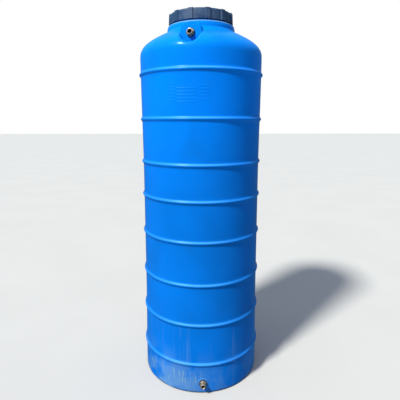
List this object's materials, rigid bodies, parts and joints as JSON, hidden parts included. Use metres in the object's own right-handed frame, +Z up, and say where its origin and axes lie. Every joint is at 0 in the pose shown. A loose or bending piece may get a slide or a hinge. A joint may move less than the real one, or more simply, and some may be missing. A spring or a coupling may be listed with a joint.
{
  "type": "vertical water storage tank",
  "caption": "Tall ribbed cylindrical polyethylene water tank with a domed shoulder, a lugged screw lid with a breather, and threaded brass inlet and outlet connectors.",
  "frame": {"origin": "centre of the flat underside, on the surface that the tank stands on", "axes": "+Z up along the tank's axis; -Y out of the outlet connector near the foot; +X to the right of someone facing the outlet"},
  "size_m": [0.6334, 0.6528, 1.8912],
  "materials": {
    "blue_polyethylene": "satin",
    "black_plastic": "satin",
    "black_rubber": "matte",
    "white_nylon": "satin",
    "steel_mesh": "satin",
    "brass": "satin"
  },
  "bodies": {
    "tank": {"tank_shell": "blue_polyethylene", "inlet_connector": "brass", "inlet_outer_washer": "black_rubber", "inlet_inner_washer": "black_rubber", "inlet_slip_washer": "white_nylon", "inlet_back_nut": "brass", "outlet_connector": "brass", "outlet_outer_washer": "black_rubber", "outlet_inner_washer": "black_rubber", "outlet_slip_washer": "white_nylon", "outlet_back_nut": "brass"},
    "lid_seal": {"lid_gasket": "black_rubber"},
    "lid": {"screw_lid": "black_plastic", "breather_body": "black_plastic", "breather_cap": "black_plastic", "insect_screen": "steel_mesh", "breather_nut": "black_plastic"},
    "breather_valve": {"breather_disc": "white_nylon"}
  },
  "joints": [
    {"name": "lid_lift", "type": "slide", "parent": "tank", "child": "lid_seal", "axis": [0, 0, 1], "range_m": [0, 0.048]},
    {"name": "lid_turn", "type": "hinge", "parent": "lid_seal", "child": "lid", "pos_m": [0, 0, 1.8205], "axis": [0, 0, 1], "range_deg": [0, 720]},
    {"name": "breather_lift", "type": "slide", "parent": "lid", "child": "breather_valve", "axis": [0, 0, 1], "range_m": [0, 0.003]}
  ],
  "couplings": [
    {"joint": "lid_lift", "follows": "lid_turn", "m_per_rad": 0.0038197}
  ]
}
